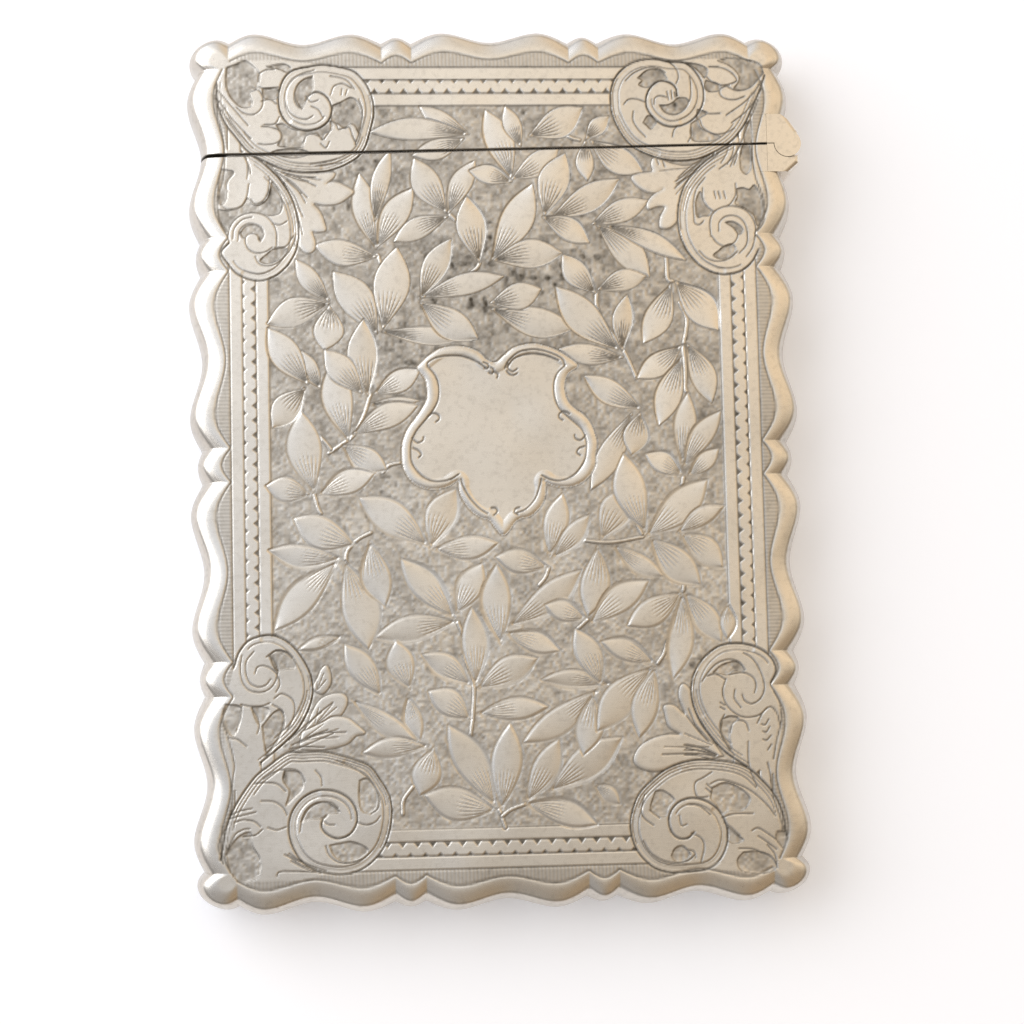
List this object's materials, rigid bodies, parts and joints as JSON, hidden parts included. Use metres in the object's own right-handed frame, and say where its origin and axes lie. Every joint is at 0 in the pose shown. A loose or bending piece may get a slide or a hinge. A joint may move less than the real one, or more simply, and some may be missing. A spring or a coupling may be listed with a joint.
{
  "type": "business card case",
  "caption": "Flat metal card case with a scalloped outline, engraved faces and a lid hinged at one corner of its mouth.",
  "frame": {"origin": "centre of the flat back face that the case lies on", "axes": "+Y towards the lid end, +Z out of the front face, +X towards the hinged side"},
  "size_m": [0.0702, 0.1, 0.0095],
  "materials": {
    "engraved_silver": "polished sterling silver, hand engraved on a matted ground",
    "plain_silver": "plain polished sterling silver inside the mouth",
    "polished_silver": "polished sterling silver, plain",
    "pin_silver": "hard drawn silver wire, filed flush"
  },
  "bodies": {
    "body": {"body_front_shell": "engraved_silver", "body_back_shell": "engraved_silver", "bezel": "plain_silver", "body_hinge_lug": "polished_silver", "body_knuckle_lower": "polished_silver", "body_knuckle_upper": "polished_silver"},
    "lid": {"lid_front_shell": "engraved_silver", "lid_back_shell": "engraved_silver", "lid_hinge_lug": "polished_silver", "lid_knuckle_back": "polished_silver", "lid_knuckle_middle": "polished_silver", "lid_knuckle_front": "polished_silver", "hinge_pin": "pin_silver"}
  },
  "joints": [
    {"name": "lid_hinge", "type": "hinge", "parent": "body", "child": "lid", "pos_m": [0.034, 0.0362, 0.00475], "axis": [0, 0, -1], "range_deg": [0, 80]}
  ]
}
